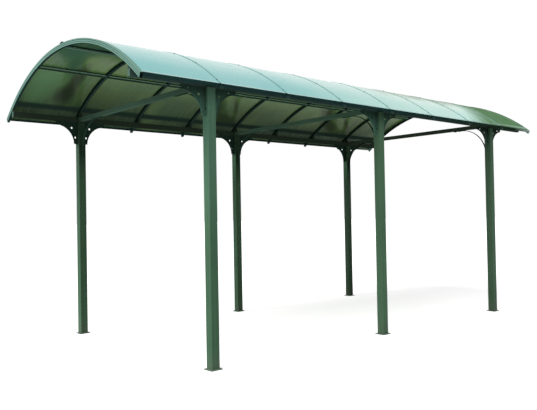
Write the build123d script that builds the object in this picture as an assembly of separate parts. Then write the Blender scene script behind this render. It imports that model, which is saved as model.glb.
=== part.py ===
"""Barrel-vault carport: an open frame of six square posts that carries eight curved roof sheets.

X runs along the carport, Y across it and Z up. The origin is on the ground, at the centre of the plan.
The front end is at -X. The near side is at -Y and the far side at +Y; each is the mirror of the other.
All sizes are in millimetres.
"""
import math
import os

from build123d import *

# ---- driving dimensions ----
# Plan
BAY = 620.0                  # pitch of the arches
BAYS = 8                     # roof sheets along the length
POST_ARCHES = (1, 4, 7)      # arches that stand over a pair of posts, counted from the front end
ROW_HALF = 1025.0            # centreline to the middle of each row of posts

# Posts
POST = 68.0                  # side of the square tube
POST_WALL = 2.0
POST_CORNER = 5.0            # outside corner radius
POST_TOP = 1970.0            # ground to the underside of the eave beams
BASE_MARGIN = 16.0           # post to the edge of its welded base plate
BASE_T = 5.0
BASE_CORNER = 6.0
ANCHOR_EDGE = 10.0           # edge of the base plate to the middle of the anchor holes
ANCHOR_D = 9.0

# Eave beams and tie beams
BEAM_W = 30.0
BEAM_H = 48.0
BEAM_WALL = 2.0
CAP_PLATE_T = 3.0            # end caps of the eave beams
CAP_PLUG = 25.0              # how far a cap reaches into its beam
TIE_W = 30.0
TIE_H = 40.0
TIE_WALL = 2.0
TIE_LIFT = 8.0               # underside of the eave beams to the underside of a tie beam
TIE_PLATE_W = 44.0           # plate welded to each end of a tie beam
TIE_PLATE_T = 4.0

# Roof arc
ARCH_R = 1820.0              # outside radius of the arches
ARCH_LIFT = 12.0             # outer top edge of the eave beams to the end arches
EAVE_OVERHANG = 146.0        # middle of the posts to the eave edge of the arches

# Section of the arches, from the outside in
CAP_T = 2.5                  # cover strip above the sheets
CAP_W = 12.0
STEM_W = 5.0                 # web between two sheets
SHEET_T = 4.0
RIB_W = 25.0
RIB_H = 18.0                 # tube below the sheets
RIB_WALL = 1.6
RIB_FOOT = 24.0              # how far the tube of a rib runs on past the eave edge of the sheets
END_W = 20.0                 # end arches, along X
END_H = 35.0                 # end arches, radial depth
GROOVE_W = 4.0               # two grooves run round the face of an end arch
GROOVE_D = 2.5
POCKET = 12.0                # how far a sheet slides into an end arch
END_LEAN = 15.0              # how far the cut across the foot of an end arch leans in
SEAT_W = 22.0                # packers that carry the ribs on the eave beams
END_SEAT_W = 14.0            # packers under the end arches

# Purlins between the arches
PURLIN_W = 36.0
PURLIN_H = 18.0
PURLIN_WALL = 1.5
PURLIN_OFFSET = 495.0        # centreline to a side purlin

# Edge strip round the lower edge of the sheets
TRIM_T = 1.5
TRIM_LIP = 12.0
TRIM_DROP = 14.0             # how far its outer wall hangs below the sheet

# Gusset brackets between post and eave beam
GUSSET = 204.0               # reach along the beam and down the post
GUSSET_TIP = 30.0            # depth of the plate at its two tips
GUSSET_WEB = 4.0
GUSSET_CHAMFER = 12.0        # cut across the end of each tip
GUSSET_FLANGE = 30.0         # width of the flanges on the post and on the beam
GUSSET_RIM = 12.0            # width of the curved rim
GUSSET_FLANGE_T = 3.0
GUSSET_HOLE_D = 18.0
CORNER_HOLE = 54.0           # corner of the bracket to the middle hole, each way
TIP_HOLE_IN = 62.0           # tip to the outer holes
TIP_HOLE_DROP = 19.0         # beam or post to the outer holes

# Knee braces between post and tie beam
KNEE_R = 290.0               # outside radius of the bend
KNEE_W = 14.0
KNEE_T = 6.0
KNEE_FOOT = 105.0            # straight foot screwed up to the tie beam
KNEE_TOE = 40.0              # straight toe screwed to the post

# Clearances
CURVE_GAP = 0.3              # between faces that lie on each other on a curve
SHEET_GAP = 1.0              # expansion room beside a sheet

# ---- values worked out from them ----
END_LOW_R = ARCH_R - END_H
ARC_Z = POST_TOP + BEAM_H + ARCH_LIFT - math.sqrt(END_LOW_R**2 - (ROW_HALF + BEAM_W / 2) ** 2)
ARC_AXIS = Axis((0, 0, ARC_Z), (1, 0, 0))
HALF_ANGLE = math.degrees(math.asin((ROW_HALF + EAVE_OVERHANG) / ARCH_R))
BASE = POST + 2 * BASE_MARGIN
ANCHOR_PITCH = BASE - 2 * ANCHOR_EDGE
LENGTH = BAY * BAYS
BEAM_LENGTH = LENGTH + END_W - 2 * CAP_PLATE_T
TIE_SPAN = 2 * ROW_HALF - BEAM_W
TIE_Z = POST_TOP + TIE_LIFT + TIE_H / 2
SHEET_TOP_R = ARCH_R - CAP_T - CURVE_GAP
SHEET_LOW_R = SHEET_TOP_R - SHEET_T
RIB_TOP_R = SHEET_LOW_R - CURVE_GAP
RIB_LOW_R = RIB_TOP_R - RIB_H
SIDES = {"near": -1, "far": 1}


def arch_x(k):
    """Middle of arch k, counted from the front end."""
    return (k - BAYS / 2) * BAY


def outline(points):
    """Closed face through the points, as (along X, height)."""
    return Plane.XZ * make_face(Polyline(*points, close=True))


def swept_round(section, half_angle=HALF_ANGLE):
    """Turns a section drawn at the ridge into a length of vault, the same to both sides."""
    solid = revolve(section, ARC_AXIS, 2 * half_angle)
    return solid.rotate(ARC_AXIS, -half_angle)


def strip(x_low, x_high, r_low, r_high):
    """Rectangle of an arch section, between two places along X and two radii."""
    low, high = ARC_Z + r_low, ARC_Z + r_high
    return outline([(x_low, low), (x_high, low), (x_high, high), (x_low, high)])


def tube(width, height, wall, length):
    """Rectangular tube along X, centred on the origin."""
    section = Rectangle(width, height) - Rectangle(width - 2 * wall, height - 2 * wall)
    return Plane.YZ * extrude(section, length / 2, both=True)


def post():
    """Square tube on its base plate, standing on the origin."""
    section = RectangleRounded(POST, POST, POST_CORNER)
    section -= RectangleRounded(POST - 2 * POST_WALL, POST - 2 * POST_WALL, POST_CORNER - POST_WALL)
    shaft = Pos(0, 0, BASE_T) * extrude(section, POST_TOP - BASE_T)
    plate = RectangleRounded(BASE, BASE, BASE_CORNER)
    plate -= GridLocations(ANCHOR_PITCH, ANCHOR_PITCH, 2, 2) * Circle(ANCHOR_D / 2)
    return shaft + extrude(plate, BASE_T)


def gusset_tip_cuts():
    """Corners cut off the ends of a gusset's tips, drawn as the gusset is."""
    reach, deep, cut = GUSSET, GUSSET_TIP, GUSSET_CHAMFER
    corner = make_face(Polyline((reach, -deep), (reach, cut - deep), (reach - cut, -deep), close=True))
    return corner + make_face(Polyline((deep, -reach), (deep - cut, -reach), (deep, cut - reach), close=True))


def gusset():
    """Bracket in the corner between a post face at x=0 and a beam at z=0, reaching to +X and down."""
    bend = GUSSET - GUSSET_TIP
    square = Pos(GUSSET / 2, -GUSSET / 2) * Rectangle(GUSSET, GUSSET)
    square -= gusset_tip_cuts()
    centre = Pos(GUSSET, -GUSSET)
    web = square - centre * Circle(bend)
    tip = GUSSET - TIP_HOLE_IN
    for place in ((CORNER_HOLE, -CORNER_HOLE), (tip, -TIP_HOLE_DROP), (TIP_HOLE_DROP, -tip)):
        web -= Pos(*place) * Circle(GUSSET_HOLE_D / 2)
    rim = square & (centre * (Circle(bend + GUSSET_FLANGE_T) - Circle(bend)))
    along_post = Pos(GUSSET_FLANGE_T / 2, -GUSSET / 2) * Rectangle(GUSSET_FLANGE_T, GUSSET)
    along_beam = Pos(GUSSET / 2, -GUSSET_FLANGE_T / 2) * Rectangle(GUSSET, GUSSET_FLANGE_T)
    solid = extrude(web, GUSSET_WEB / 2, both=True) + extrude(rim, GUSSET_RIM / 2, both=True)
    return Plane.XZ * (solid + extrude(along_post + along_beam, GUSSET_FLANGE / 2, both=True))


def gusset_pair():
    """The two brackets of one post, under the eave beam on either side of it."""
    front = Pos(POST / 2, 0, POST_TOP) * gusset()
    return Compound(children=[front, mirror(front, Plane.YZ)])


def knee():
    """Bent flat bar from the tie beam down to the inner face of a near post, at x=0."""
    post_face = POST / 2 - ROW_HALF
    tie_low = TIE_Z - TIE_H / 2
    centre = Pos(post_face + KNEE_R, tie_low - KNEE_R)
    corner = Pos(post_face + KNEE_R / 2, tie_low - KNEE_R / 2) * Rectangle(KNEE_R, KNEE_R)
    bend = corner & (centre * (Circle(KNEE_R) - Circle(KNEE_R - KNEE_T)))
    foot = Pos(post_face + KNEE_R + KNEE_FOOT / 2, tie_low - KNEE_T / 2) * Rectangle(KNEE_FOOT, KNEE_T)
    toe = Pos(post_face + KNEE_T / 2, tie_low - KNEE_R - KNEE_TOE / 2) * Rectangle(KNEE_T, KNEE_TOE)
    return Plane.YZ * extrude(bend + foot + toe, KNEE_W / 2, both=True)


def knee_pair():
    """The two braces under one tie beam."""
    near = knee()
    return Compound(children=[near, mirror(near, Plane.XZ)])


def tie_beam():
    """Tube across the carport with a plate at each end, bolted to the inner faces of the eave beams."""
    beam = Pos(0, 0, TIE_Z) * Rot(0, 0, 90) * tube(TIE_W, TIE_H, TIE_WALL, TIE_SPAN - 2 * TIE_PLATE_T)
    plate = Box(TIE_PLATE_W, TIE_PLATE_T, BEAM_H)
    for sign in SIDES.values():
        beam += Pos(0, sign * (TIE_SPAN - TIE_PLATE_T) / 2, POST_TOP + BEAM_H / 2) * plate
    return beam


def seat_block(x, width, r_low):
    """Packer on the near eave beam whose top follows the underside of an arch."""
    height = ARC_Z + r_low - POST_TOP - BEAM_H
    block = Box(width, BEAM_W, height, align=(Align.CENTER, Align.CENTER, Align.MIN))
    vault = Pos(x, 0, ARC_Z) * Rot(0, 90, 0) * Cylinder(r_low - CURVE_GAP, 2 * width)
    return (Pos(x, -ROW_HALF, POST_TOP + BEAM_H) * block) & vault


def near_eave_beam():
    """Full-length tube on the near posts, with a packer under each arch."""
    beam = Pos(0, -ROW_HALF, POST_TOP + BEAM_H / 2) * tube(BEAM_W, BEAM_H, BEAM_WALL, BEAM_LENGTH)
    for k in range(1, BAYS):
        beam += seat_block(arch_x(k), SEAT_W, RIB_LOW_R)
    for k in (0, BAYS):
        beam += seat_block(arch_x(k), END_SEAT_W, END_LOW_R)
    return beam


def beam_end_cap():
    """Plastic cap in the back end of the near eave beam."""
    plate = Box(CAP_PLATE_T, BEAM_W, BEAM_H, align=(Align.MIN, Align.CENTER, Align.CENTER))
    inside = 2 * (BEAM_WALL + CURVE_GAP)
    plug = Box(CAP_PLUG, BEAM_W - inside, BEAM_H - inside, align=(Align.MAX, Align.CENTER, Align.CENTER))
    return Pos(BEAM_LENGTH / 2, -ROW_HALF, POST_TOP + BEAM_H / 2) * (plate + plug)


def beam_end_caps():
    """The caps of both eave beams, at both ends."""
    near = [beam_end_cap(), mirror(beam_end_cap(), Plane.YZ)]
    return Compound(children=near + [mirror(cap, Plane.XZ) for cap in near])


def rib(x):
    """Inner arch: a tube below the sheets, a web between them and a cover strip above."""
    section = strip(-CAP_W / 2, CAP_W / 2, ARCH_R - CAP_T, ARCH_R)
    section += strip(-STEM_W / 2, STEM_W / 2, RIB_TOP_R, ARCH_R)
    hollow = strip(-RIB_W / 2, RIB_W / 2, RIB_LOW_R, RIB_TOP_R)
    inside = RIB_W / 2 - RIB_WALL
    hollow -= strip(-inside, inside, RIB_LOW_R + RIB_WALL, RIB_TOP_R - RIB_WALL)
    foot = math.degrees(RIB_FOOT / ARCH_R)
    return Pos(x, 0, 0) * (swept_round(section) + swept_round(hollow, HALF_ANGLE + foot))


def between_feet():
    """Block that trims an end arch at x=0: its two sides are the cuts across the feet."""
    reach = ROW_HALF + EAVE_OVERHANG
    high = math.sqrt(ARCH_R**2 - reach**2)
    fall = high - math.sqrt(END_LOW_R**2 - (reach - END_LEAN) ** 2)
    above = (ARCH_R - high) / fall + 1
    side = [(reach - 2 * END_LEAN, high - 2 * fall), (reach + above * END_LEAN, high + above * fall)]
    points = side + [(-y, z) for y, z in reversed(side)]
    return Pos(0, 0, ARC_Z) * extrude(Plane.YZ * make_face(Polyline(*points, close=True)), END_W, both=True)


def front_end_arch():
    """End arch with two grooves round its face and a pocket for the first sheet."""
    face = -END_W / 2
    section = strip(face, END_W / 2, END_LOW_R, ARCH_R)
    ridge_h = (END_H - 2 * GROOVE_W) / 3
    for n in (1, 2):
        low = END_LOW_R + n * ridge_h + (n - 1) * GROOVE_W
        section -= strip(face, face + GROOVE_D, low, low + GROOVE_W)
    section -= strip(END_W / 2 - POCKET, END_W / 2, SHEET_LOW_R - CURVE_GAP, SHEET_TOP_R + CURVE_GAP)
    long_arch = swept_round(section, math.degrees(math.asin((ROW_HALF + EAVE_OVERHANG) / END_LOW_R)))
    return Pos(arch_x(0), 0, 0) * (long_arch & between_feet())


def roof_panel(bay):
    """Curved sheet between two arches; the first and last slide into the end arches."""
    beside_rib = STEM_W / 2 + SHEET_GAP
    in_pocket = POCKET - END_W / 2 - SHEET_GAP
    low = arch_x(bay) - (in_pocket if bay == 0 else -beside_rib)
    high = arch_x(bay + 1) + (in_pocket if bay == BAYS - 1 else -beside_rib)
    return swept_round(strip(low, high, SHEET_LOW_R, SHEET_TOP_R))


def bay_clear(bay):
    """Clear space along X between the two arches of a bay, below the sheet."""
    low = arch_x(bay) + (END_W if bay == 0 else RIB_W) / 2
    high = arch_x(bay + 1) - (END_W if bay == BAYS - 1 else RIB_W) / 2
    return low, high


def purlin(offset):
    """One tube in each bay, butted between the arches and lying under the sheet."""
    angle = -math.degrees(math.asin(offset / ARCH_R))
    centre_r = RIB_TOP_R - SHEET_GAP - PURLIN_H / 2
    pieces = []
    for bay in range(BAYS):
        low, high = bay_clear(bay)
        piece = tube(PURLIN_W, PURLIN_H, PURLIN_WALL, high - low)
        piece = Pos((low + high) / 2, 0, ARC_Z + centre_r) * piece
        pieces.append(piece.rotate(ARC_AXIS, angle))
    return Compound(children=pieces)


def near_edge_strip():
    """Folded strip round the lower edge of each sheet, between the arches."""
    lip_angle = math.degrees(TRIM_LIP / ARCH_R)
    wall_angle = math.degrees(TRIM_T / ARCH_R)
    pieces = []
    for bay in range(BAYS):
        low, high = bay_clear(bay)
        skin_low = SHEET_LOW_R - CURVE_GAP
        skin_high = SHEET_TOP_R + CURVE_GAP
        lips = strip(low, high, skin_high, skin_high + TRIM_T) + strip(low, high, skin_low - TRIM_T, skin_low)
        lips = revolve(lips, ARC_AXIS, lip_angle).rotate(ARC_AXIS, HALF_ANGLE - lip_angle)
        edge = strip(low, high, skin_low - TRIM_DROP, skin_high + TRIM_T)
        edge = revolve(edge, ARC_AXIS, wall_angle).rotate(ARC_AXIS, HALF_ANGLE)
        pieces.append(lips + edge)
    return Compound(children=pieces)


def build():
    """Every node of the carport, by name."""
    nodes = {}
    for n, k in enumerate(POST_ARCHES, start=1):
        x = arch_x(k)
        for side, sign in SIDES.items():
            nodes[f"post_{side}_{n}"] = Pos(x, sign * ROW_HALF, 0) * post()
            nodes[f"gussets_{side}_{n}"] = Pos(x, sign * ROW_HALF, 0) * gusset_pair()
        nodes[f"tie_beam_{n}"] = Pos(x, 0, 0) * tie_beam()
        nodes[f"knee_braces_{n}"] = Pos(x, 0, 0) * knee_pair()
    nodes["eave_beam_near"] = near_eave_beam()
    nodes["eave_beam_far"] = mirror(near_eave_beam(), Plane.XZ)
    nodes["beam_end_caps"] = beam_end_caps()
    nodes["end_arch_front"] = front_end_arch()
    nodes["end_arch_back"] = mirror(front_end_arch(), Plane.YZ)
    for k in range(1, BAYS):
        nodes[f"rib_{k}"] = rib(arch_x(k))
    for bay in range(BAYS):
        nodes[f"roof_panel_{bay + 1}"] = roof_panel(bay)
    nodes["purlin_near"] = purlin(-PURLIN_OFFSET)
    nodes["purlin_ridge"] = purlin(0.0)
    nodes["purlin_far"] = purlin(PURLIN_OFFSET)
    nodes["edge_strip_near"] = near_edge_strip()
    nodes["edge_strip_far"] = mirror(near_edge_strip(), Plane.XZ)
    return nodes


os.makedirs("parts", exist_ok=True)
for name, shape in build().items():
    export_step(shape, f"parts/{name}.step")
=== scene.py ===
"""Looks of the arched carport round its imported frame: paints, sheets, fixings, seals, light and camera."""

import math

import bmesh
import bpy
from mathutils import Matrix, Vector


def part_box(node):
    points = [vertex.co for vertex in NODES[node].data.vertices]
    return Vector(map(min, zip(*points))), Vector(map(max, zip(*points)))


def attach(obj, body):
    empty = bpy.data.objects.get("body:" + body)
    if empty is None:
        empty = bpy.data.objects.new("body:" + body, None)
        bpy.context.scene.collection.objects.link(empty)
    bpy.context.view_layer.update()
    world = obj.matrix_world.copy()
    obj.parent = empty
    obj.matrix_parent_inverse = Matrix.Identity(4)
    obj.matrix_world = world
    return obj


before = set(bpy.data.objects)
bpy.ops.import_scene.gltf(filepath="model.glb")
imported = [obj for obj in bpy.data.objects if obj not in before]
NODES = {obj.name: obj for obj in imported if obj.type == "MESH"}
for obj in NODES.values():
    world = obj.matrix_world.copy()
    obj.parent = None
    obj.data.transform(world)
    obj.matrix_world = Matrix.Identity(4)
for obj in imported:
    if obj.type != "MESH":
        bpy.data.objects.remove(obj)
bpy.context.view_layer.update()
SIDES = {"near": -1, "far": 1}
UP = Vector((0, 0, 1))

# ---- places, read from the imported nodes, in metres ----


def middle(node):
    low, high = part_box(node)
    return (low + high) / 2


POSTS = {(side, n): middle(f"post_{side}_{n}") for side in SIDES for n in (1, 2, 3)}
POST_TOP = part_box("post_near_1")[1].z
ROW = POSTS["far", 1].y
RIB_X = [middle(f"rib_{k}").x for k in range(1, 8)]
ARCH_X = [middle("end_arch_front").x, *RIB_X, middle("end_arch_back").x]
RIB_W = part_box("rib_1")[1].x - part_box("rib_1")[0].x
END_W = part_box("end_arch_front")[1].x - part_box("end_arch_front")[0].x
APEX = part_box("rib_4")[1].z

# The sheets' outer face is an arc through its crown and its eave edge.
_sheet = NODES["roof_panel_4"].data.vertices
_crown = max(v.co.z for v in _sheet)
_edge = max((v.co for v in _sheet), key=lambda co: co.y)
_drop = _crown - _edge.z
SHEET_R = (_edge.y**2 + _drop**2) / (2 * _drop)
ARC_Z = _crown - SHEET_R
HALF = math.atan2(_edge.y, _edge.z - ARC_Z)
ARCH_R = APEX - ARC_Z
BAY = RIB_X[1] - RIB_X[0]
BAYS = len(ARCH_X) - 1

# Sizes that part.py gives and no box tells
POST_HALF = 0.034
PLATE_T = 0.005
FLANGE_T = 0.003
KNEE_R = 0.290
KNEE_T = 0.006
TIE_LIFT = 0.008
BEAM_HALF = 0.015
TIE_PLATE_T = 0.004
TIE_PLATE_Y = ROW - BEAM_HALF - TIE_PLATE_T     # inner face of the plate at a tie beam's end
SHEET_T = 0.004
RIB_H = 0.018
RIB_FOOT = 0.024             # a rib's tube runs on past the sheets' edge
TUBE_DROP = 0.0071           # from the top of a rib's cover strip down to its tube
PURLIN_DROP = 0.001          # from there down to the purlins
PURLIN_H = 0.018
PURLIN_MIDDLE = 0.017        # from the top of the cover strips down to a purlin's middle
LIP = 0.012                  # edge strip's outer lip
CAP_HALF = 0.006             # half a cover strip
END_H = 0.035
END_LEAN = 0.015             # lean of the cut across an end arch's foot

END_LOW_R = ARCH_R - END_H
PURLIN_LOW_R = ARCH_R - TUBE_DROP - PURLIN_DROP - PURLIN_H
PURLIN_ANGLE = math.asin(middle("purlin_far").y / (ARCH_R - PURLIN_MIDDLE))

# Sizes of what is made here
M6_BOLT = (0.006, 0.0014, 0.009, 0.004)         # washer's radius and thickness, head's width and height
LOW_M8_BOLT = (0.009, 0.0015, 0.013, 0.0035)
SCREW_HEAD = (0.008, 0.0045)                    # width and height
SCREW_FLANGE = 0.0052
COVER_HEAD = (0.0042, 0.0024)                   # radius and height
COVER_WASHER = (0.0055, 0.0012)
COVER_SCREW_STEP = 9.5                          # degrees round the roof
TIE_RIVET = (0.0030, 0.0020)
PURLIN_RIVET = (0.0034, 0.0014)
RIVET_STEP = 0.009                              # screws and rivets sit this far to either side of a middle
BRACKET_SCREWS = (0.045, 0.150)                 # from the corner between post and beam
KNEE_BOLTS = (0.030, 0.080)                     # from the end of a knee's bend, along the tie beam
KNEE_FOOT_BOLT = 0.020                          # from the other end of the bend, down the post
TIE_RIVET_X = 0.0185
TIE_RIVET_UP = (0.012, 0.036)
PURLIN_RIVET_X = 0.034                          # from the middle of a rib or end arch
WELD_LEG = 0.0045
POST_CORNER = 0.005
SADDLE_T = 0.010
SADDLE_HALF = 0.022
# Sections as (out from the rib, up from the sheet) points: on the cover strips' edges and under the sheets
GASKET = ((-0.0015, 0.0001), (0.0012, 0.0001), (0.0010, 0.0007), (0.0004, 0.0012))
SEAL_W = 0.0075
SEAL = ((0, 0), (SEAL_W, 0), (SEAL_W - 0.0008, -0.0009), (0, -0.0011))
SEAL_END = 0.03 - HALF                          # angle from the ridge, on the near side
PLUG_HEAD = (0.0002, 0.0060)                    # how much smaller than the tube, and how far out
PLUG_STEM = (0.0040, -0.0120)
PLUG_TAPER = ((0.0, 1.0), (0.4, 0.97), (0.8, 0.82), (1.0, 0.62))    # shares of the length and of the section
FOOT_PLATE = ((-0.0002, 1.0), (0.0014, 1.0), (0.0022, 0.92))        # lift off the cut, share of the section
# pale strips along the sheets' lower edges that stand for a painted highlight: width, thickness, gap to the
# lip, steps across
HIGHLIGHT_W = 0.018
HIGHLIGHT_T = 0.0008
HIGHLIGHT_GAP = 0.0006
HIGHLIGHT_STEPS = 6
COVER_GAP = 0.003                               # between a cover strip and the end of a painted highlight strip
ARC_STEPS = 92
CLEAR = 0.0001                                  # so that no two faces share a plane
CREASE = math.radians(35)
PAINTED_LIGHT_X = 1.9                                    # painted light and shade along the roof change over this distance to either side of the middle


# ---- mesh building ----


class Shape:
    """Gathers closed solids into one mesh."""

    def __init__(self):
        self.verts, self.faces = [], []

    def add(self, verts, faces, at=Matrix.Identity(4)):
        """Adds a solid, moved by at."""
        start = len(self.verts)
        self.verts += [at @ Vector(v) for v in verts]
        self.faces += [[i + start for i in face] for face in faces]

    def lathe(self, profile, at, segments=20):
        """Solid of revolution about local Z through (radius, height) points; radius 0 is a pole."""
        verts, faces, rings = [], [], []
        for radius, height in profile:
            ring = []
            for i in range(1 if radius == 0 else segments):
                turn = 2 * math.pi * i / segments
                ring.append(len(verts))
                verts.append((radius * math.cos(turn), radius * math.sin(turn), height))
            rings.append(ring)
        for low, high in zip(rings, rings[1:]):
            for i in range(segments):
                j = (i + 1) % segments
                corners = [low[i % len(low)], low[j % len(low)], high[j % len(high)], high[i % len(high)]]
                corners = list(dict.fromkeys(corners))
                if len(corners) > 2:
                    faces.append(corners)
        self.add(verts, faces, at)

    def sweep(self, rings, closed=False):
        """Skin over rings of points, each ring a closed section."""
        count = len(rings[0])
        verts = [point for ring in rings for point in ring]
        faces = []
        pairs = len(rings) if closed else len(rings) - 1
        for r in range(pairs):
            a, b = r * count, (r + 1) % len(rings) * count
            for i in range(count):
                j = (i + 1) % count
                faces.append([a + i, a + j, b + j, b + i])
        if not closed:
            faces.append(list(range(count))[::-1])
            faces.append([len(verts) - count + i for i in range(count)])
        self.add(verts, faces)

    def piece(self, name, material, slot):
        """Makes the object, which rides on the only body."""
        mesh = bpy.data.meshes.new(name)
        mesh.from_pydata(self.verts, [], self.faces)
        work = bmesh.new()
        work.from_mesh(mesh)
        bmesh.ops.recalc_face_normals(work, faces=work.faces)
        work.to_mesh(mesh)
        work.free()
        for polygon in mesh.polygons:
            polygon.use_smooth = True
        mesh.set_sharp_from_angle(angle=CREASE)
        mesh.materials.append(material)
        obj = bpy.data.objects.new(name, mesh)
        bpy.context.scene.collection.objects.link(obj)
        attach(obj, "root")


def facing(place, direction):
    """Frame at a place whose Z points along a direction."""
    turn = Vector(direction).to_track_quat("Z", "Y").to_matrix().to_4x4()
    return Matrix.Translation(place) @ turn


def on_arc(x, angle, radius):
    return Vector((x, radius * math.sin(angle), ARC_Z + radius * math.cos(angle)))


def outward(angle):
    return Vector((0, math.sin(angle), math.cos(angle)))


def arc_bar(shape, section, low, high):
    """Sweeps a section of (x, radius) points round the roof arc."""
    rings = []
    for i in range(ARC_STEPS + 1):
        angle = low + (high - low) * i / ARC_STEPS
        rings.append([on_arc(x, angle, radius) for x, radius in section])
    shape.sweep(rings)


def rounded(width, height, corner, steps=3):
    """Rounded rectangle from (-width/2, 0) to (width/2, height), as points."""
    points = []
    for cx, cy, start in (
        (width / 2 - corner, corner, -90), (width / 2 - corner, height - corner, 0),
        (corner - width / 2, height - corner, 90), (corner - width / 2, corner, 180),
    ):
        for i in range(steps + 1):
            turn = math.radians(start + 90 * i / steps)
            points.append((cx + corner * math.cos(turn), cy + corner * math.sin(turn)))
    return points


# ---- fixings, true to scale ----


def washer(shape, at, radius, thick):
    bevel = thick * 0.25
    shape.lathe([(0, 0), (radius, 0), (radius, thick - bevel), (radius - bevel, thick), (0, thick)], at)


def hex_head(shape, at, across, height):
    corner = across / math.sqrt(3)
    cut = height * 0.16
    profile = [(0, 0), (corner, 0), (corner, height - cut), (corner - 1.6 * cut, height), (0, height)]
    shape.lathe(profile, at, segments=6)


def hex_screw(shape, at):
    """Hexagon head with its pressed flange."""
    profile = [(0, 0), (SCREW_FLANGE, 0), (SCREW_FLANGE, 0.0006), (SCREW_FLANGE * 0.86, 0.0013), (0, 0.0013)]
    shape.lathe(profile, at)
    hex_head(shape, at @ Matrix.Translation((0, 0, 0.001)), *SCREW_HEAD)


def bolt(shape, at, washer_r, washer_t, across, height):
    """Hexagon head on its washer."""
    washer(shape, at, washer_r, washer_t)
    hex_head(shape, at @ Matrix.Translation((0, 0, washer_t)), across, height)


def dome(shape, at, radius, height):
    """Rivet or pan head."""
    rim = height * 0.25
    profile = [(0, 0), (radius, 0), (radius, rim)]
    for i in range(1, 5):
        turn = math.pi / 2 * i / 5
        profile.append((radius * math.cos(turn), rim + (height - rim) * math.sin(turn)))
    shape.lathe([*profile, (0, height)], at, segments=16)


def saddle(shape, x):
    """Small block over the ridge of an end arch, with lowered ends."""
    half = SADDLE_HALF / ARCH_R
    steps = 8
    rings = []
    for i in range(steps + 1):
        angle = half * (2 * i / steps - 1)
        low = ARCH_R + (CLEAR if 0 < i < steps else 0.0)
        section = rounded(END_W - 0.003, SADDLE_T, 0.002)
        rings.append([on_arc(x + px, angle, low + py) for px, py in section])
    shape.sweep(rings)


# ---- materials ----


PLAIN = (1, 1, 1)
LOW_SPECULAR = 0.03


def make(tree, kind, links=None, **settings):
    """Adds a shader node; links maps its inputs to sockets or plain values."""
    node = tree.nodes.new("ShaderNode" + kind)
    for key, value in settings.items():
        setattr(node, key, value)
    for key, value in (links or {}).items():
        if isinstance(value, bpy.types.NodeSocket):
            tree.links.new(value, node.inputs[key])
        else:
            node.inputs[key].default_value = value
    return node


def new_material(name):
    material = bpy.data.materials.new(name)
    material.use_nodes = True
    tree = material.node_tree
    return material, tree, tree.nodes["Principled BSDF"]


def mix(tree, factor, a, b, kind="MIX"):
    return make(tree, "Mix", {0: factor, 6: a, 7: b}, data_type="RGBA", blend_type=kind).outputs[2]


def mix_value(tree, factor, a, b):
    return make(tree, "Mix", {0: factor, 2: a, 3: b}, data_type="FLOAT").outputs[0]


def spread(tree, value, low, high, start=0.0, end=1.0):
    """Maps start..end onto low..high, clamped."""
    links = {"Value": value, "From Min": start, "From Max": end, "To Min": low, "To Max": high}
    return make(tree, "MapRange", links).outputs[0]


def maths(tree, operation, a, b=0.0):
    return make(tree, "Math", {0: a, 1: b}, operation=operation).outputs[0]


def times(tree, a, b):
    return maths(tree, "MULTIPLY", a, b)


def split(tree, vector):
    """X, Y and Z of a vector."""
    return make(tree, "SeparateXYZ", {0: vector}).outputs


def object_place(tree):
    return make(tree, "TexCoord").outputs["Object"]


def noise(tree, where, scale, detail=3.0, rough=0.5, stretch=PLAIN):
    if stretch != PLAIN:
        where = make(tree, "Mapping", {"Vector": where, "Scale": stretch}).outputs[0]
    links = {"Vector": where, "Scale": scale, "Detail": detail, "Roughness": rough}
    return make(tree, "TexNoise", links).outputs[0]


def rgba(colour, by=1.0):
    return (*(c * by for c in colour), 1.0)


def bump(tree, height, strength, distance, normal=None):
    links = {"Height": height, "Strength": strength, "Distance": distance}
    if normal is not None:
        links["Normal"] = normal
    return make(tree, "Bump", links).outputs[0]


def soft_edges(tree, radius):
    return make(tree, "Bevel", {"Radius": radius}, samples=4).outputs[0]


def height_over_axis(tree, where):
    """Height above the axis of the roof's arc."""
    return maths(tree, "SUBTRACT", split(tree, where)[2], ARC_Z)


def roof_radius(tree, where):
    """Distance from the axis of the roof's arc."""
    y = split(tree, where)[1]
    rise = height_over_axis(tree, where)
    return maths(tree, "SQRT", maths(tree, "ADD", times(tree, y, y), times(tree, rise, rise)))


def roof_angle(tree, where):
    """Angle from the ridge, the same to both sides."""
    y = split(tree, where)[1]
    rise = height_over_axis(tree, where)
    return maths(tree, "ABSOLUTE", maths(tree, "ARCTAN2", y, rise))


def blob(tree, x, angle, y, at_x, at_angle, wide, tall, lean):
    """Soft oval on the far half of the roof, 1 in its middle; lean shifts it along X with the angle."""
    up = maths(tree, "SUBTRACT", angle, at_angle)
    along = maths(tree, "SUBTRACT", maths(tree, "SUBTRACT", x, at_x), times(tree, up, lean))
    flat, high = (
        maths(tree, "POWER", maths(tree, "ABSOLUTE", maths(tree, "DIVIDE", off, size)), 2.0)
        for off, size in ((along, wide), (up, tall))
    )
    inside = spread(tree, maths(tree, "ADD", flat, high), 0.85, 0, 0.1, 1.4)
    return times(tree, inside, maths(tree, "GREATER_THAN", y, 0))


def off_rib(tree, where):
    """Distance along X from the middle of the nearest rib."""
    from_rib = maths(tree, "SUBTRACT", split(tree, where)[0], RIB_X[0] - 4 * BAY)
    return maths(tree, "PINGPONG", from_rib, BAY / 2)


def off_purlin(tree, where):
    """Distance round the arc from the middle of the nearest purlin."""
    angle = roof_angle(tree, where)
    side = maths(tree, "ABSOLUTE", maths(tree, "SUBTRACT", angle, PURLIN_ANGLE))
    return times(tree, maths(tree, "MINIMUM", angle, side), SHEET_R)


def facing_ways(tree):
    """X, Y and Z of the way that the face looks."""
    return split(tree, make(tree, "NewGeometry").outputs["Normal"])


def crosswise(tree, where):
    """Y, from the near side to the far side."""
    return split(tree, where)[1]


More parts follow.
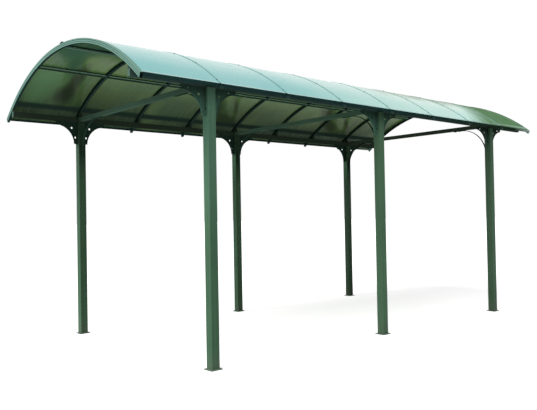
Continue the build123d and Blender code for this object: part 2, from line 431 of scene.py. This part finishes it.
def band(tree, value, low, high, soft=0.0003):
    """1 between two values, 0 outside, with soft edges."""
    rise = spread(tree, value, 0, 1, low - soft, low + soft)
    return times(tree, rise, spread(tree, value, 1, 0, high - soft, high + soft))


def slow_x(tree, where):
    """x in units of half a kilometre, so that a band's soft edge is 0.3 m long."""
    return times(tree, split(tree, where)[0], 0.002)


def under_roof(tree, where):
    """1 on faces that look in under the roof from either end, 0 elsewhere and on the arches' feet."""
    looking_in = maths(tree, "LESS_THAN", times(tree, facing_ways(tree)[0], split(tree, where)[0]), -0.5)
    return times(tree, looking_in, maths(tree, "LESS_THAN", roof_angle(tree, where), HALF - 0.05))


def shaded_head(tree, where, colour, tone):
    """A post's tone with painted light and shade: shade under the roof, which reaches further down on the far
    row, light on the first near post, and light and shade face by face.
    """
    x, y, z = split(tree, where)
    ways = facing_ways(tree)
    near = maths(tree, "LESS_THAN", y, 0)
    far = maths(tree, "GREATER_THAN", y, 0)
    frontward = maths(tree, "LESS_THAN", ways[0], -0.5)
    nearward = times(tree, far, maths(tree, "LESS_THAN", ways[1], -0.5))

    front_face = mix(tree, spread(tree, x, 0, 1, -PAINTED_LIGHT_X, 0.0), rgba(colour, 1.15), rgba(colour, 1.75))
    far_head = mix(tree, frontward, rgba(colour, 0.30), front_face)
    by_bracket = spread(tree, z, 0, 1, POST_TOP - 0.23, POST_TOP - 0.20)
    far_head = mix(tree, by_bracket, far_head, rgba(colour, 0.5))
    far_shade = spread(tree, z, 0, 1, POST_TOP - 0.55, POST_TOP - 0.25)
    near_shade = spread(tree, z, 0, 1, POST_TOP - 0.14, POST_TOP - 0.03)
    shade = mix(tree, far, near_shade, far_shade)
    tone = mix(tree, shade, tone, mix(tree, far, rgba(colour, 0.62), far_head))

    first = times(tree, near, maths(tree, "LESS_THAN", x, -1))
    lit = times(tree, first, spread(tree, z, 0, 1, 0.9, 1.9))
    tone = mix(tree, lit, tone, (1.72, 1.74, 1.98, 1), "MULTIPLY")
    turned = times(tree, frontward, spread(tree, x, 0, 1, -1.0, 1.0))
    tone = mix(tree, turned, tone, (0.80, 0.80, 0.78, 1), "MULTIPLY")
    return mix(tree, nearward, tone, (0.74, 0.72, 0.70, 1), "MULTIPLY")


def powder_coat(
    name, colour, along, edge=0.0012, dust=0.0, bands=(), middle_light=PLAIN, back_shade=PLAIN,
    beam_shade=None, head=False, specular=0.0,
):
    """Satin powder coat: slow tone drift, run marks along the given axes, fine orange peel.

    Each band is (measure, low, high, colour): another colour where the measure lies between the two.
    middle_light and back_shade are factors on the coat: painted light at the middle and painted shade at the
    back end of the roof.
    beam_shade is how dark the painted shade under the eave beam gets, and how far below the beam it starts.
    dust is how much of it lies at the foot, and head adds the painted shade at a post's head and the painted
    light and shade of its faces.
    """
    material, tree, shader = new_material(name)
    where = object_place(tree)
    x, _, z = split(tree, where)
    drift = noise(tree, where, 2.3, 3.0)
    tone = mix(tree, spread(tree, drift, 0, 1, 0.3, 0.7), rgba(colour, 0.88), rgba(colour, 1.12))
    stretch = tuple(1.2 if axis in along else 70.0 for axis in "xyz")
    runs = noise(tree, where, 1.0, 4.0, 0.6, stretch)
    tone = mix(tree, spread(tree, runs, 0, 0.45, 0.45, 0.75), tone, rgba(colour, 1.45))
    marks = noise(tree, where, 260.0, 2.0, 0.6)
    tone = mix(tree, spread(tree, marks, 0, 0.25, 0.62, 0.8), tone, rgba(colour, 0.7))
    # painted light towards the middle of the roof and painted shade towards its back end
    for low, high, by in ((-PAINTED_LIGHT_X, 0.0, middle_light), (0.0, PAINTED_LIGHT_X, back_shade)):
        if by != PLAIN:
            tone = mix(tree, spread(tree, x, 0, 1, low, high), tone, rgba(by), "MULTIPLY")
    # painted shade under the eave beam
    if beam_shade:
        darkest, reach = beam_shade
        by = spread(tree, z, 1, darkest, POST_TOP - reach, POST_TOP - 0.02)
        tone = mix(tree, 1.0, tone, make(tree, "CombineXYZ", {0: by, 1: by, 2: by}).outputs[0], "MULTIPLY")
    for measure, low, high, other in bands:
        tone = mix(tree, band(tree, measure(tree, where), low, high), tone, rgba(other))
    if dust:
        low = times(tree, spread(tree, z, dust, 0, 0.0, 0.16), spread(tree, runs, 0.3, 1.0, 0.3, 0.7))
        tone = mix(tree, low, tone, (0.20, 0.19, 0.16, 1))
        tone = mix(tree, spread(tree, z, 1, 0, PLATE_T, PLATE_T + 0.0008), tone, (0.17, 0.22, 0.18, 1))
    if head:
        tone = shaded_head(tree, where, colour, tone)
    tree.links.new(tone, shader.inputs["Base Color"])
    shader.inputs["Specular IOR Level"].default_value = specular
    gloss = spread(tree, noise(tree, where, 35.0, 4.0, 0.65), 0.40, 0.56, 0.3, 0.7)
    tree.links.new(gloss, shader.inputs["Roughness"])
    peel = noise(tree, where, 620.0, 1.5, 0.4)
    tree.links.new(bump(tree, peel, 0.22, 0.00025, soft_edges(tree, edge)), shader.inputs["Normal"])
    return material


# Painted reflections of the frame: dark and light shapes painted on the underside of the far half:
# place along X, degrees from the ridge, half width, half height in degrees, lean and colour.
FRAME_REFLECTIONS = (
    (-2.34, 24.0, 0.17, 9.0, 0.0, (0.110, 0.235, 0.115)),
    (-2.31, 3.0, 0.17, 9.5, 0.0, (0.056, 0.130, 0.098)),
    (-2.19, 12.5, 0.07, 6.5, 0.3, (0.050, 0.110, 0.080)),
    (-2.075, 20.5, 0.065, 10.0, 0.1, (0.032, 0.040, 0.028)),
    (-2.09, 28.0, 0.10, 5.0, 0.1, (0.030, 0.042, 0.030)),
    (-0.46, 25.0, 0.13, 7.0, 1.0, (0.040, 0.058, 0.036)),
    (-0.22, 31.0, 0.20, 3.0, 2.0, (0.040, 0.058, 0.036)),
    (-0.24, 23.0, 0.035, 6.0, 1.4, (0.070, 0.090, 0.052)),
    (1.10, 20.5, 0.13, 6.0, 1.6, (0.046, 0.056, 0.034)),
    (1.36, 28.5, 0.16, 4.5, 2.2, (0.046, 0.056, 0.034)),
    (1.64, 27.0, 0.045, 6.0, 2.2, (0.070, 0.085, 0.050)),
)


def sheet_outside(tree, where, crown):
    """Colour of the sheets' upper skin, partly painted reflection of sky and trees, and 1 where that is the
    green back end.
    """
    x = split(tree, where)[0]
    angle = roof_angle(tree, where)

    # partly painted sky reflection: cyan towards the front and the eaves, minty towards the crown and the
    # middle, with pale cloud patches
    front = mix(tree, crown, (0.285, 0.63, 0.625, 1), (0.71, 0.92, 0.88, 1))
    rear = mix(tree, crown, (0.57, 0.86, 0.77, 1), (0.86, 0.98, 0.91, 1))
    skin = mix(tree, spread(tree, x, 0, 1, -1.3, 0.6), front, rear)
    cloud = noise(tree, where, 1.1, 2.0)
    skin = mix(tree, spread(tree, cloud, 0, 0.3, 0.4, 0.75), skin, (0.68, 0.90, 0.84, 1))

    # green on the crown and over the back end, partly the sheets' own green and partly painted reflection of
    # trees, with ragged edges and fading painted glints
    streaks = noise(tree, where, 1.0, 3.0, 0.55, (3.4, 1.3, 1.3))
    ragged = maths(tree, "ADD", angle, times(tree, maths(tree, "SUBTRACT", streaks, 0.5), 0.22))
    on_crown = spread(tree, ragged, 1, 0, math.radians(20), math.radians(28))
    skin = mix(tree, times(tree, spread(tree, x, 0, 1, 0.0, 1.0), on_crown), skin, (0.125, 0.240, 0.110, 1))
    backward = maths(tree, "ADD", maths(tree, "ADD", x, times(tree, angle, 1.5)), times(tree, streaks, 0.8))
    back = spread(tree, backward, 0, 1, 2.68, 3.08)
    deep = mix(tree, spread(tree, streaks, 0, 1, 0.38, 0.66), (0.105, 0.225, 0.100, 1), (0.20, 0.36, 0.19, 1))
    glints = noise(tree, where, 1.0, 2.0, 0.5, (5.5, 2.0, 2.0))
    fading = times(tree, spread(tree, glints, 0, 0.7, 0.50, 0.66), spread(tree, x, 1, 0.15, 1.5, 2.2))
    skin = mix(tree, back, skin, mix(tree, fading, deep, (0.34, 0.52, 0.38, 1)))

    # painted shade under the edge strip's lip, with a line of painted highlight beside it at the back
    lip = HALF - LIP / SHEET_R
    skin = mix(tree, spread(tree, angle, 0, 1, lip, lip + 0.0005), skin, (0.008, 0.020, 0.018, 1))
    beside_lip = band(tree, angle, HALF - 0.040, HALF - 0.016, 0.006)
    edge_highlight = times(tree, spread(tree, x, 0, 0.6, 1.7, 2.3), beside_lip)
    return mix(tree, edge_highlight, skin, (0.42, 0.60, 0.50, 1)), back


def sheet_inside(tree, where, crown):
    """Colour of the sheets' lower skin: olive, darker towards the eaves, with slow blotches, painted
    reflections of the frame and of the eave beam.
    """
    x, y, _ = split(tree, where)
    angle = roof_angle(tree, where)
    under = mix(tree, crown, (0.034, 0.063, 0.028, 1), (0.143, 0.222, 0.086, 1))
    entry = times(tree, maths(tree, "LESS_THAN", y, 0.02), spread(tree, x, 1, 0, -2.1, -1.9))
    under = mix(tree, entry, under, (0.040, 0.090, 0.064, 1))
    near_side = spread(tree, times(tree, x, maths(tree, "LESS_THAN", y, 0.3)), 0, 0.8, 0.8, 1.6)
    under = mix(tree, near_side, under, (0.38, 0.47, 0.22, 1))
    blotch = noise(tree, where, 1.0, 3.0, 0.5, (1.5, 2.2, 1.1))
    under = mix(tree, spread(tree, blotch, 0, 0.5, 0.44, 0.62), under, (0.060, 0.120, 0.080, 1))
    patch = noise(tree, where, 1.0, 2.0, 0.5, (2.1, 1.2, 2.4))
    under = mix(tree, spread(tree, patch, 0, 0.5, 0.5, 0.72), under, (0.21, 0.31, 0.13, 1))
    brushed = noise(tree, where, 1.0, 4.0, 0.6, (75, 1.4, 1.4))
    under = mix(tree, spread(tree, brushed, 0, 0.3, 0.5, 0.8), under, (0.24, 0.33, 0.17, 1))
    for at_x, at_angle, wide, tall, lean, shade in FRAME_REFLECTIONS:
        oval = blob(tree, x, angle, y, at_x, math.radians(at_angle), wide, math.radians(tall), lean)
        under = mix(tree, oval, under, rgba(shade))
    low = spread(tree, angle, 0, 1, math.radians(20), math.radians(26))
    under = mix(tree, 1.0, under, mix(tree, low, (0.92, 1.07, 0.90, 1), (0.79, 0.86, 0.72, 1)), "MULTIPLY")
    # painted reflection of the eave beam, just above it on the sheet
    beam_reflection = band(tree, angle, math.radians(32.6), math.radians(34.8), 0.008)
    return mix(tree, beam_reflection, under, (0.020, 0.040, 0.030, 1))


def roof_sheet(name):
    """Polycarbonate sheet: outside a pale skin, partly painted reflection of sky and trees; olive and glossy
    below, with painted reflections.
    """
    material, tree, shader = new_material(name)
    where = object_place(tree)
    outer = maths(tree, "GREATER_THAN", roof_radius(tree, where), SHEET_R - SHEET_T / 2)
    crown = spread(tree, split(tree, where)[2], 0, 1, APEX - 0.33, APEX - 0.05)
    skin, back = sheet_outside(tree, where, crown)
    under = sheet_inside(tree, where, crown)
    tree.links.new(mix(tree, outer, under, skin), shader.inputs["Base Color"])

    film = noise(tree, where, 9.0, 5.0, 0.6)
    gloss_out = mix_value(tree, back, spread(tree, film, 0.16, 0.34, 0.3, 0.7), 1.0)
    gloss = mix_value(tree, outer, spread(tree, film, 0.07, 0.16, 0.3, 0.7), gloss_out)
    tree.links.new(gloss, shader.inputs["Roughness"])
    shader.inputs["Specular IOR Level"].default_value = LOW_SPECULAR
    wave = noise(tree, where, 1.0, 2.0, 0.5, (2.6, 1.7, 1.7))
    tree.links.new(bump(tree, wave, spread(tree, outer, 0.30, 0.04), 0.02), shader.inputs["Normal"])
    return material


def plain_detail(name, colour, rough, grain=900.0, contrast=0.25, depth=0.15, specular=0.05, back=None):
    """Small parts: mottled colour, uneven gloss, fine grain; back is the colour at the back end."""
    material, tree, shader = new_material(name)
    where = object_place(tree)
    mottle = noise(tree, where, grain * 0.25, 4.0, 0.6)
    dark, light = rgba(colour, 1 - contrast), rgba(colour, 1 + contrast)
    tone = mix(tree, spread(tree, mottle, 0, 1, 0.3, 0.7), dark, light)
    if back:
        tone = mix(tree, spread(tree, split(tree, where)[0], 0, 1, 1.0, PAINTED_LIGHT_X), tone, rgba(back))
    tree.links.new(tone, shader.inputs["Base Color"])
    tree.links.new(spread(tree, mottle, rough + 0.08, rough - 0.08, 0.3, 0.7), shader.inputs["Roughness"])
    shader.inputs["Specular IOR Level"].default_value = specular
    fine = noise(tree, where, grain, 2.0, 0.5)
    tree.links.new(bump(tree, fine, depth, 0.0002), shader.inputs["Normal"])
    return material


# ---- paints, plastics and rubber ----

# painted shade for the two grooves along an end arch's face, which the mesh doesn't have
GROOVE_SHADE = (0.07, 0.14, 0.115)
# painted shade on the upper half of a purlin's tube
UPPER_HALF_SHADE = (roof_radius, PURLIN_LOW_R + 0.0095, ARCH_R, (0.008, 0.020, 0.014))

# The factors towards the back end are painted shade on the frame, and the posts' factor for the middle is
# painted light.
post_paint = powder_coat(
    "post_paint", (0.066, 0.142, 0.083), "z", edge=0.0018, dust=0.35,
    middle_light=(1.27, 1.20, 1.22), back_shade=(0.86, 0.82, 0.84), head=True, specular=LOW_SPECULAR,
)
tie_paint = powder_coat("tie_paint", (0.064, 0.122, 0.084), "y", back_shade=(0.55, 0.42, 0.42))
# Brackets: painted shade on the far row and under the eave beam.
gusset_paint = powder_coat(
    "gusset_paint", (0.080, 0.182, 0.132), "z", bands=[(crosswise, 0, 2, (0.018, 0.040, 0.028))],
    back_shade=(0.75, 0.62, 0.58), beam_shade=(0.27, 0.16),
)
knee_paint = powder_coat("knee_paint", (0.022, 0.054, 0.036), "z", back_shade=(0.25, 0.25, 0.25))
# Eave beams: painted shade on the far beam.
beam_paint = powder_coat(
    "beam_paint", (0.048, 0.084, 0.078), "x", bands=[(crosswise, 0, 2, (0.029, 0.044, 0.030))],
    back_shade=(0.72, 0.72, 0.55),
)
# Ribs: a lighter stripe along the middle of each tube is painted light, and the end near the eaves, under the
# edge strips, has painted shade.
rib_paint = powder_coat("rib_paint", (0.010, 0.024, 0.020), "yz", bands=[
    (off_rib, -1, 0.0060, (0.034, 0.064, 0.052)),
    (roof_radius, SHEET_R + 0.0003, ARCH_R + 0.01, (0.24, 0.44, 0.42)),
    (roof_angle, HALF - 0.009, 2, (0.014, 0.040, 0.037)),
], back_shade=(0.55, 0.5, 0.4))
# Purlins: painted shade on the upper half of the tube and on its underside but for the edges.
purlin_paint = powder_coat("purlin_paint", (0.27, 0.44, 0.34), "x", bands=[
    UPPER_HALF_SHADE, (off_purlin, -1, 0.0168, (0.019, 0.042, 0.025)),
])
# Ridge purlin: painted shade on the upper half and in two thin lines near the edges of its underside.
ridge_paint = powder_coat("ridge_paint", (0.110, 0.200, 0.150), "x", bands=[
    UPPER_HALF_SHADE, (off_purlin, 0.0140, 0.0172, (0.015, 0.032, 0.022)),
])
trim_paint = powder_coat(
    "trim_paint", (0.014, 0.043, 0.040), "x", edge=0.0004, bands=[(slow_x, 0.0046, 1, (0.30, 0.42, 0.36))],
    back_shade=(1.15, 0.72, 0.45),
)
# End arches: painted shade in the grooves, on the soffit and on the faces that look in under the roof.
arch_paint = powder_coat("arch_paint", (0.20, 0.36, 0.30), "yz", bands=[
    (roof_radius, END_LOW_R + 0.0090, END_LOW_R + 0.0130, GROOVE_SHADE),
    (roof_radius, END_LOW_R + 0.0220, END_LOW_R + 0.0260, GROOVE_SHADE),
    (roof_radius, END_LOW_R - 0.01, END_LOW_R + 0.0005, (0.016, 0.042, 0.036)),
    (under_roof, 0.5, 2, (0.014, 0.030, 0.022)),
])
sheet_skin = roof_sheet("sheet_skin")
screw_paint = plain_detail("screw_paint", (0.020, 0.045, 0.034), 0.42, contrast=0.3)
gasket_rubber = plain_detail(
    "gasket_rubber", (0.20, 0.36, 0.34), 0.62, contrast=0.2, depth=0.3, back=(0.08, 0.16, 0.09),
)
plug_plastic = plain_detail("plug_plastic", (0.004, 0.007, 0.006), 0.6, contrast=0.3, specular=0.0)
cap_plastic = plain_detail("cap_plastic", (0.105, 0.19, 0.145), 0.5, contrast=0.12, specular=0.0)
# pale plates on the back arch's feet: painted light on their tips
painted_light_tip = plain_detail("painted_light_tip", (0.46, 0.58, 0.52), 0.5, contrast=0.12, specular=0.0)
# painted highlight: pale strips along the sheets' lower edges, darker green at the back end
highlight_strip = plain_detail(
    "highlight_strip", (0.52, 0.74, 0.72), 0.5, grain=500.0, contrast=0.08, specular=0.0, back=(0.10, 0.17, 0.10),
)


def dress(prefix, material):
    for name, obj in NODES.items():
        if name.startswith(prefix):
            obj.data.materials.clear()
            obj.data.materials.append(material)


dress("post_", post_paint)
dress("tie_beam_", tie_paint)
dress("gussets_", gusset_paint)
dress("knee_braces_", knee_paint)
dress("eave_beam_", beam_paint)
dress("rib_", rib_paint)
dress("purlin_", purlin_paint)
dress("purlin_ridge", ridge_paint)
dress("edge_strip_", trim_paint)
dress("end_arch_", arch_paint)
dress("roof_panel_", sheet_skin)
dress("beam_end_caps", cap_plastic)


# ---- welds round the feet of the posts ----


def foot_weld(shape, centre):
    """Rippled fillet bead round the foot of a post."""
    path = []
    side_steps, corner_steps = 28, 6
    straight = POST_HALF - POST_CORNER
    for quarter in range(4):
        turn = math.radians(90 * quarter)
        ahead = Vector((math.cos(turn), math.sin(turn), 0))
        left = Vector((-math.sin(turn), math.cos(turn), 0))
        for i in range(side_steps):
            path.append((ahead * POST_HALF + left * straight * (2 * i / side_steps - 1), ahead))
        for i in range(corner_steps):
            bend = turn + math.radians(90) * i / corner_steps
            out = Vector((math.cos(bend), math.sin(bend), 0))
            path.append(((ahead + left) * straight + out * POST_CORNER, out))
    rings = []
    for i, (point, out) in enumerate(path):
        size = WELD_LEG * (1 + 0.14 * math.sin(i * 2.3) + 0.08 * math.sin(i * 0.9))
        base = centre + point
        into_post = -out * 0.0004
        into_plate = -UP * 0.0002
        rings.append([
            base + into_post + into_plate, base + out * size + into_plate,
            base + out * size * 0.78 + UP * size * 0.22, base + out * size * 0.42 + UP * size * 0.60,
            base + out * size * 0.12 + UP * size * 0.95, base + into_post + UP * size,
        ])
    shape.sweep(rings, closed=True)


for (side, n), spot in POSTS.items():
    weld = Shape()
    foot_weld(weld, Vector((spot.x, spot.y, PLATE_T)))
    weld.piece(f"foot_weld_{side}_{n}", post_paint, "steel_paint")

# ---- screws and bolts of the brackets, braces and tie beams ----

for (side, n), spot in POSTS.items():
    screws = Shape()
    for along in (-1, 1):
        for y in (spot.y - RIVET_STEP, spot.y + RIVET_STEP):
            for reach in BRACKET_SCREWS:
                on_post = Vector((spot.x + along * (POST_HALF + FLANGE_T), y, POST_TOP - reach))
                hex_screw(screws, facing(on_post, (along, 0, 0)))
                on_beam = Vector((spot.x + along * (POST_HALF + reach), y, POST_TOP - FLANGE_T))
                hex_screw(screws, facing(on_beam, -UP))
    screws.piece(f"gusset_screws_{side}_{n}", screw_paint, "steel_paint")

for n in (1, 2, 3):
    x = POSTS["near", n].x
    bolts = Shape()
    for side in SIDES.values():
        inward = (0, -side, 0)
        for reach in KNEE_BOLTS:
            under_tie = Vector((x, side * (ROW - POST_HALF - KNEE_R - reach), POST_TOP + TIE_LIFT - KNEE_T))
            bolt(bolts, facing(under_tie, -UP), *M6_BOLT)
        foot_z = POST_TOP + TIE_LIFT - KNEE_R - KNEE_FOOT_BOLT
        on_post = Vector((x, side * (ROW - POST_HALF - KNEE_T), foot_z))
        bolt(bolts, facing(on_post, inward), *M6_BOLT)
        for dx in (-TIE_RIVET_X, TIE_RIVET_X):
            for up in TIE_RIVET_UP:
                dome(bolts, facing(Vector((x + dx, side * TIE_PLATE_Y, POST_TOP + up)), inward), *TIE_RIVET)
    bolts.piece(f"tie_bolts_{n}", screw_paint, "steel_paint")

# ---- screws, gaskets and seals on the roof, and pale strips of painted highlight ----

for k, x in enumerate(RIB_X, start=1):
    screws, gasket, seal = Shape(), Shape(), Shape()
    for step in range(-4, 5):
        angle = math.radians(COVER_SCREW_STEP * step)
        at = facing(on_arc(x, angle, ARCH_R), outward(angle))
        washer(screws, at, *COVER_WASHER)
        dome(screws, at @ Matrix.Translation((0, 0, COVER_WASHER[1])), *COVER_HEAD)
    for way in (-1, 1):
        edge = x + way * CAP_HALF
        section = [(edge + way * out, SHEET_R + up) for out, up in GASKET]
        arc_bar(gasket, section, LIP / SHEET_R - HALF, HALF - LIP / SHEET_R)
        edge = x + way * RIB_W / 2
        section = [(edge + way * out, SHEET_R - SHEET_T - CLEAR + up) for out, up in SEAL]
        arc_bar(seal, section, SEAL_END, -SEAL_END)
    screws.piece(f"cover_screws_{k}", screw_paint, "beam_paint")
    gasket.piece(f"cover_gasket_{k}", gasket_rubber, "beam_paint")
    seal.piece(f"under_seal_{k}", plug_plastic, "beam_paint")

# pale strips beside the edge strips' lips: painted highlight along the sheets' lower edges
for side_name, side in SIDES.items():
    highlight_piece = Shape()
    for bay in range(BAYS):
        low = ARCH_X[bay] + (END_W / 2 if bay == 0 else CAP_HALF + COVER_GAP)
        high = ARCH_X[bay + 1] - (END_W / 2 if bay == BAYS - 1 else CAP_HALF + COVER_GAP)
        outer = HALF - (LIP + HIGHLIGHT_GAP) / SHEET_R
        inner = outer - HIGHLIGHT_W / SHEET_R
        angles = [side * (inner + (outer - inner) * i / HIGHLIGHT_STEPS) for i in range(HIGHLIGHT_STEPS + 1)]
        lifts = [HIGHLIGHT_T / 2, *[HIGHLIGHT_T] * (HIGHLIGHT_STEPS - 1), HIGHLIGHT_T / 2]
        rings = []
        for x in (low, high):
            ring = [on_arc(x, angle, SHEET_R + CLEAR) for angle in angles]
            ring += [on_arc(x, angle, SHEET_R + lift) for angle, lift in zip(angles[::-1], lifts)]
            rings.append(ring)
        highlight_piece.sweep(rings)
    highlight_piece.piece(f"highlight_strip_{side_name}", highlight_strip, "roof_sheet")

# ---- plugs, plates, ridge blocks and rivets ----

plugs = Shape()
foot_angle = HALF + RIB_FOOT / ARCH_R
for x in RIB_X:
    for side in SIDES.values():
        for shrink, length in (PLUG_HEAD, PLUG_STEM):
            width, height = RIB_W - shrink, RIB_H - shrink
            centre = ARCH_R - TUBE_DROP - RIB_H / 2
            rings = []
            for step, grow in PLUG_TAPER:
                angle = side * (foot_angle + step * length / ARCH_R)
                rings.append([
                    on_arc(x + px * grow, angle, centre + (py - height / 2) * grow)
                    for px, py in rounded(width, height, 0.0015)
                ])
            plugs.sweep(rings)
plugs.piece("rib_plugs", screw_paint, "cap_plastic")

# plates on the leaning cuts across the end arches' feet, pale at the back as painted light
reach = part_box("end_arch_front")[1].y
cut_top = Vector((0, reach, ARC_Z + math.sqrt(ARCH_R**2 - reach**2)))
cut_low = Vector((0, reach - END_LEAN, ARC_Z + math.sqrt((ARCH_R - END_H) ** 2 - (reach - END_LEAN) ** 2)))
cut_length = (cut_top - cut_low).length
cut_up = (cut_top - cut_low).normalized()
cut_out = Vector((0, cut_up.z, -cut_up.y))
for end, x, cap_material in (("front", ARCH_X[0], plug_plastic), ("back", ARCH_X[-1], painted_light_tip)):
    end_caps = Shape()
    for side in SIDES.values():
        rings = []
        for lift, grow in FOOT_PLATE:
            ring = []
            for px, py in rounded(END_W, cut_length, 0.002):
                point = (cut_low + cut_top) / 2 + cut_up * (py - cut_length / 2) * grow + cut_out * lift
                ring.append(Vector((x + px * grow, side * point.y, point.z)))
            rings.append(ring)
        end_caps.sweep(rings)
    end_caps.piece(f"end_arch_caps_{end}", cap_material, "end_arch_paint")

ridge_nuts = Shape()
for x in (ARCH_X[0], ARCH_X[-1]):
    saddle(ridge_nuts, x)
    bolt(ridge_nuts, facing(on_arc(x, 0, ARCH_R + SADDLE_T), UP), *LOW_M8_BOLT)
ridge_nuts.piece("ridge_nuts", plug_plastic, "beam_paint")

for name, angle in (("near", -PURLIN_ANGLE), ("ridge", 0.0), ("far", PURLIN_ANGLE)):
    rivets = Shape()
    sideways = Vector((0, math.cos(angle), -math.sin(angle)))
    for bay in range(BAYS):
        for x in (ARCH_X[bay] + PURLIN_RIVET_X, ARCH_X[bay + 1] - PURLIN_RIVET_X):
            for shift in (-RIVET_STEP, RIVET_STEP):
                place = on_arc(x, angle, PURLIN_LOW_R) + sideways * shift
                dome(rivets, facing(place, -outward(angle)), *PURLIN_RIVET)
    rivets.piece(f"purlin_rivets_{name}", screw_paint, "beam_paint")

# ---- floor, light and camera ----


def camera_share(tree):
    """1 for what the camera sees directly or in a mirror or through glass, 0 for the light on the object."""
    path = make(tree, "LightPath").outputs
    both = maths(tree, "MAXIMUM", path["Is Camera Ray"], path["Is Glossy Ray"])
    return maths(tree, "MAXIMUM", both, path["Is Transmission Ray"])


FLOOR_REACH = 120.0
FLOOR_DROP = 0.0004
FLOOR_GLOW = 0.72
WORLD_LIGHT = 0.24
SUN_FROM = (-0.68, -0.15, 0.72)
CAMERA_PLACE = (-4.5367, -4.6955, 1.0617)
YAW, PITCH, ROLL = 0.8515, 0.0172, -0.0178
WHITE = rgba(PLAIN)


def place_in_scene(obj):
    bpy.context.scene.collection.objects.link(obj)
    return obj


corners = [(x * FLOOR_REACH, y * FLOOR_REACH, 0) for x, y in ((-1, -1), (1, -1), (1, 1), (-1, 1))]
floor_mesh = bpy.data.meshes.new("floor")
floor_mesh.from_pydata(corners, [], [(0, 1, 2, 3)])
floor = place_in_scene(bpy.data.objects.new("floor", floor_mesh))
floor.location.z = -FLOOR_DROP
pale, tree, shader = new_material("pale_floor")
shader.inputs["Base Color"].default_value = (0.86, 0.86, 0.86, 1)
shader.inputs["Roughness"].default_value = 0.9
shader.inputs["Specular IOR Level"].default_value = 0.0
shader.inputs["Emission Color"].default_value = WHITE
tree.links.new(times(tree, camera_share(tree), FLOOR_GLOW), shader.inputs["Emission Strength"])
floor_mesh.materials.append(pale)

world = bpy.data.worlds.new("studio")
bpy.context.scene.world = world
world.use_nodes = True
tree = world.node_tree
tree.nodes.clear()
light = make(tree, "Background", {"Color": WHITE, "Strength": WORLD_LIGHT})
seen = make(tree, "Background", {"Color": WHITE, "Strength": 1.0})
both = make(tree, "MixShader", {0: camera_share(tree), 1: light.outputs[0], 2: seen.outputs[0]})
make(tree, "OutputWorld", {"Surface": both.outputs[0]})

sun_data = bpy.data.lights.new("key", "SUN")
sun_data.energy = 2.7
sun_data.angle = math.radians(45)
sun = place_in_scene(bpy.data.objects.new("key", sun_data))
sun.rotation_euler = Vector(SUN_FROM).to_track_quat("Z", "Y").to_euler()

camera_data = bpy.data.cameras.new("camera")
camera_data.lens = 43.33
camera_data.sensor_width = 36.0
camera_data.clip_end = 500.0
camera = place_in_scene(bpy.data.objects.new("camera", camera_data))
ahead = Vector((math.cos(YAW) * math.cos(PITCH), math.sin(YAW) * math.cos(PITCH), math.sin(PITCH)))
level = Vector((math.sin(YAW), -math.cos(YAW), 0))
upright = level.cross(ahead)
right = level * math.cos(ROLL) + upright * math.sin(ROLL)
above = upright * math.cos(ROLL) - level * math.sin(ROLL)
turn = Matrix((right, above, -ahead)).transposed().to_4x4()
camera.matrix_world = Matrix.Translation(CAMERA_PLACE) @ turn
bpy.context.scene.camera = camera

bpy.context.scene.view_settings.view_transform = "Standard"
